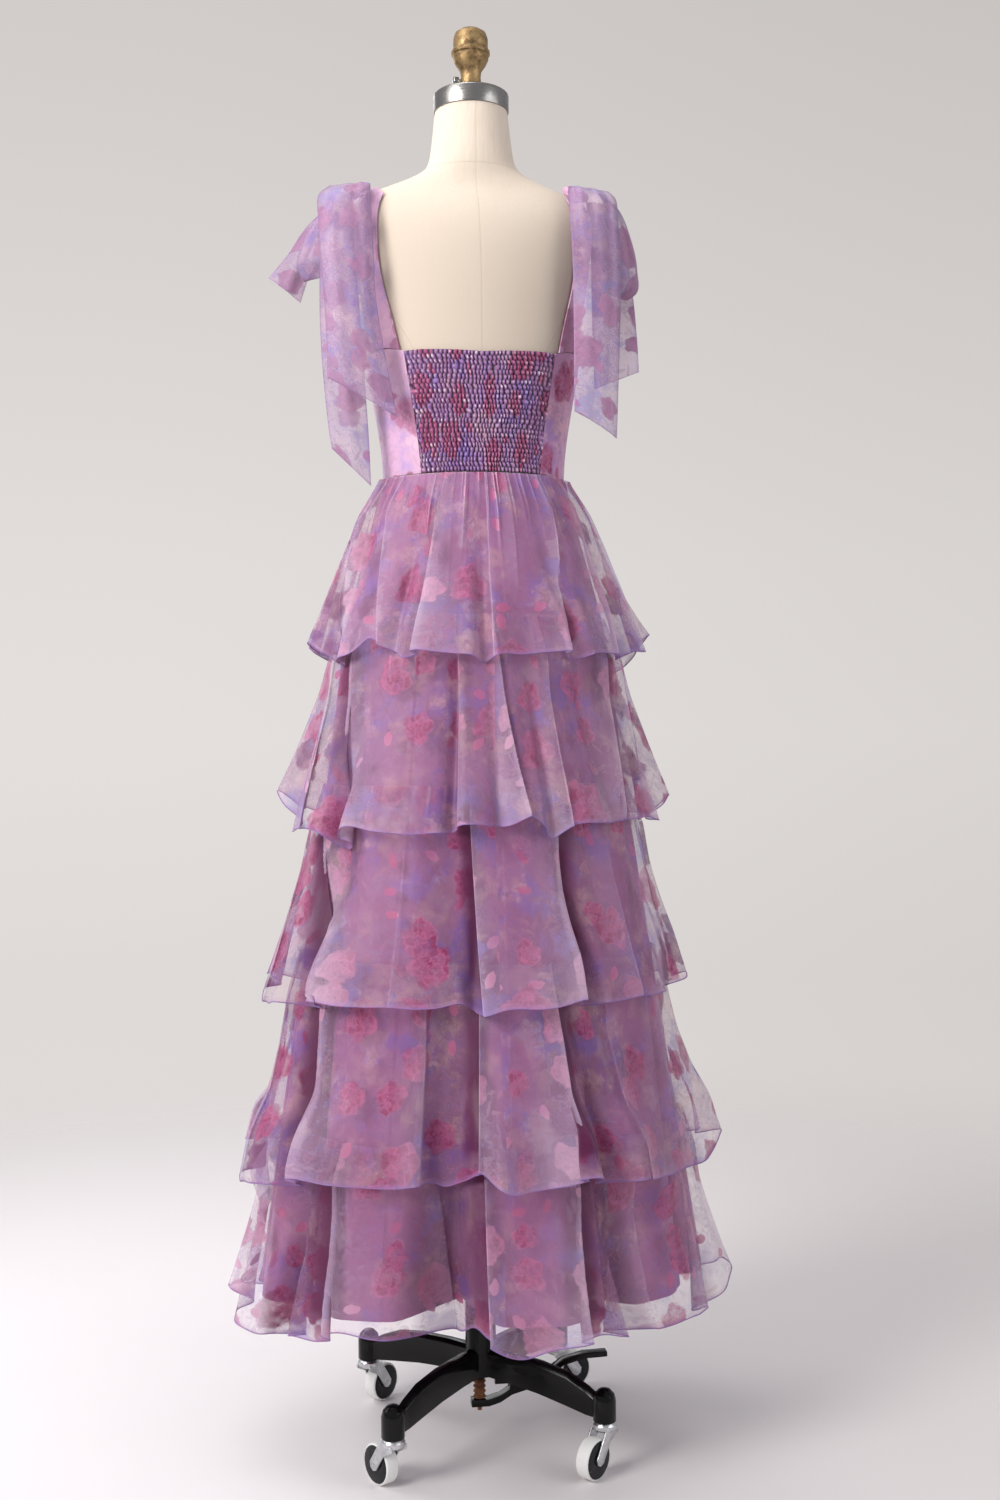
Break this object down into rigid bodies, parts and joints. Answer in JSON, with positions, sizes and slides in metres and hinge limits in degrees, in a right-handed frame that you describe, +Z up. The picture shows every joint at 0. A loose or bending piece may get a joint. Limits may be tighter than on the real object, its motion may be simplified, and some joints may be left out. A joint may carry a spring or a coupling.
{
  "type": "ruffled a-line midi dress on a limbless dress form and stand",
  "caption": "Tiered sheer floral dress with tied shoulder bows and a shirred back, standing on a limbless form with a castered pedal stand.",
  "frame": {"origin": "on the floor under the pole's axis", "axes": "+Z up, the form faces +Y with its back towards -Y, and +X is the wearer's right"},
  "size_m": [0.6522, 0.4902, 1.8291],
  "materials": {
    "linen": "matt woven linen cover",
    "cap_steel": "brushed",
    "old_brass": "aged, cast",
    "rose_satin": "soft printed satin with an organza layer",
    "plum_smocking": "elastic shirring, printed",
    "mauve_lining": "plain satin lining",
    "lilac_organza": "sheer printed organza",
    "tie_organza": "sheer printed organza",
    "black_enamel": "gloss black enamel",
    "pedal_enamel": "black enamel",
    "tube_steel": "ground steel",
    "rusted_steel": "rusted",
    "zinc": "zinc plated",
    "wheel_black": "black",
    "white_nylon": "white nylon"
  },
  "bodies": {
    "stand": {"base_casting": "black_enamel", "stand_tube": "tube_steel"},
    "form": {"pole": "tube_steel", "form_torso": "linen", "neck_cap": "cap_steel", "finial": "old_brass", "front_panel": "rose_satin", "side_front_left": "rose_satin", "side_front_right": "rose_satin", "side_back_left": "rose_satin", "side_back_right": "rose_satin", "back_panel_smocked": "plum_smocking", "strap_back_left": "rose_satin", "strap_back_right": "rose_satin", "strap_front_left": "rose_satin", "strap_front_right": "rose_satin", "tie_knot_left": "tie_organza", "tie_knot_right": "tie_organza", "tie_loop_left": "tie_organza", "tie_loop_right": "tie_organza", "tie_tail_wide_left": "tie_organza", "tie_tail_long_left": "tie_organza", "tie_tail_outer_left": "tie_organza", "tie_tail_wide_right": "tie_organza", "tie_tail_sheer_right": "tie_organza", "lining_skirt": "mauve_lining", "tier_1": "lilac_organza", "tier_2": "lilac_organza", "tier_3": "lilac_organza", "tier_4": "lilac_organza", "tier_5": "lilac_organza"},
    "lifting_pedal": {"pedal": "pedal_enamel", "pedal_rod": "rusted_steel"},
    "height_screw": {"thumb_screw": "cap_steel"},
    "swivel_front_right": {"caster_fork_front_right": "zinc"},
    "wheel_front_right": {"wheel_core_front_right": "wheel_black", "wheel_tread_front_right": "white_nylon"},
    "swivel_front_left": {"caster_fork_front_left": "zinc"},
    "wheel_front_left": {"wheel_core_front_left": "wheel_black", "wheel_tread_front_left": "white_nylon"},
    "swivel_rear_left": {"caster_fork_rear_left": "zinc"},
    "wheel_rear_left": {"wheel_core_rear_left": "wheel_black", "wheel_tread_rear_left": "white_nylon"},
    "swivel_rear_right": {"caster_fork_rear_right": "zinc"},
    "wheel_rear_right": {"wheel_core_rear_right": "wheel_black", "wheel_tread_rear_right": "white_nylon"}
  },
  "joints": [
    {"name": "pole_height", "type": "slide", "parent": "stand", "child": "form", "axis": [0, 0, 1], "range_m": [-0.05, 0.2]},
    {"name": "pedal_press", "type": "hinge", "parent": "stand", "child": "lifting_pedal", "pos_m": [0.045, 0, 0.078], "axis": [0, 1, 0], "range_deg": [0, 12], "stiffness_Nm_per_rad": 2, "springref_deg": -17.19},
    {"name": "thumb_screw_turn", "type": "hinge", "parent": "form", "child": "height_screw", "pos_m": [-0.01269, -0.00167, 1.7591], "axis": [-0.9914, -0.1305, 0], "continuous": true},
    {"name": "front_right_swivel", "type": "hinge", "parent": "stand", "child": "swivel_front_right", "pos_m": [0.12566, 0.13713, 0.064], "axis": [0, 0, 1], "continuous": true},
    {"name": "front_right_wheel_spin", "type": "hinge", "parent": "swivel_front_right", "child": "wheel_front_right", "pos_m": [0.14832, 0.1477, 0.02479], "axis": [0.4226, -0.9063, 0], "continuous": true},
    {"name": "front_left_swivel", "type": "hinge", "parent": "stand", "child": "swivel_front_left", "pos_m": [-0.13713, 0.12566, 0.064], "axis": [0, 0, 1], "continuous": true},
    {"name": "front_left_wheel_spin", "type": "hinge", "parent": "swivel_front_left", "child": "wheel_front_left", "pos_m": [-0.11946, 0.14334, 0.02479], "axis": [0.7071, -0.7071, 0], "continuous": true},
    {"name": "rear_left_swivel", "type": "hinge", "parent": "stand", "child": "swivel_rear_left", "pos_m": [-0.12566, -0.13713, 0.064], "axis": [0, 0, 1], "continuous": true},
    {"name": "rear_left_wheel_spin", "type": "hinge", "parent": "swivel_rear_left", "child": "wheel_rear_left", "pos_m": [-0.13891, -0.11593, 0.02479], "axis": [0.848, 0.5299, 0], "continuous": true},
    {"name": "rear_right_swivel", "type": "hinge", "parent": "stand", "child": "swivel_rear_right", "pos_m": [0.13713, -0.12566, 0.064], "axis": [0, 0, 1], "continuous": true},
    {"name": "rear_right_wheel_spin", "type": "hinge", "parent": "swivel_rear_right", "child": "wheel_rear_right", "pos_m": [0.11885, -0.14271, 0.02479], "axis": [-0.682, 0.7314, 0], "continuous": true}
  ]
}
